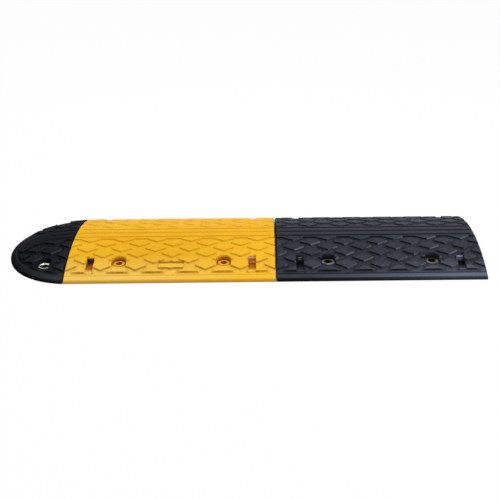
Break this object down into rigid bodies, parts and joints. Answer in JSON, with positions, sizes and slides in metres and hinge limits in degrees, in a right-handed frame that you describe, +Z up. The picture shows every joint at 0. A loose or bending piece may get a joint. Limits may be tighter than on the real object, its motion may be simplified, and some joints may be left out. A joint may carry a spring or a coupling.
{
  "type": "speed bump",
  "caption": "Low arched rubber road hump in bolt-down modules: a rounded end piece, a yellow length and a black length with raised diamond tread.",
  "frame": {"origin": "on the ground, at the middle of the whole assembly's length and width", "axes": "+X along the bump from the end cap to the free end, +Y across the bump to its rear, +Z up"},
  "size_m": [1.16, 0.35, 0.05],
  "materials": {
    "yellow_rubber": "moulded yellow rubber, satin",
    "black_rubber": "moulded black rubber, satin",
    "bright_steel": "bright zinc plate",
    "dull_steel": "dull zinc plate",
    "coated_steel": "coated with the yellow of the module",
    "amber_reflector": "clear reflector face, tinted by the yellow round it",
    "clear_reflector": "clear prismatic reflector face"
  },
  "bodies": {
    "root": {"end_cap": "black_rubber", "yellow_module": "yellow_rubber", "black_module": "black_rubber", "cap_washer_front": "bright_steel", "cap_washer_rear": "bright_steel", "yellow_washer_front_left": "coated_steel", "yellow_washer_front_right": "coated_steel", "yellow_washer_rear_left": "coated_steel", "yellow_washer_rear_right": "coated_steel", "black_washer_front_left": "dull_steel", "black_washer_front_right": "dull_steel", "black_washer_rear_left": "dull_steel", "black_washer_rear_right": "dull_steel", "yellow_reflector_front_left": "amber_reflector", "yellow_reflector_front_right": "amber_reflector", "yellow_reflector_rear_left": "amber_reflector", "yellow_reflector_rear_right": "amber_reflector", "black_reflector_front_left": "clear_reflector", "black_reflector_front_right": "clear_reflector", "black_reflector_rear_left": "clear_reflector", "black_reflector_rear_right": "clear_reflector"}
  },
  "joints": []
}
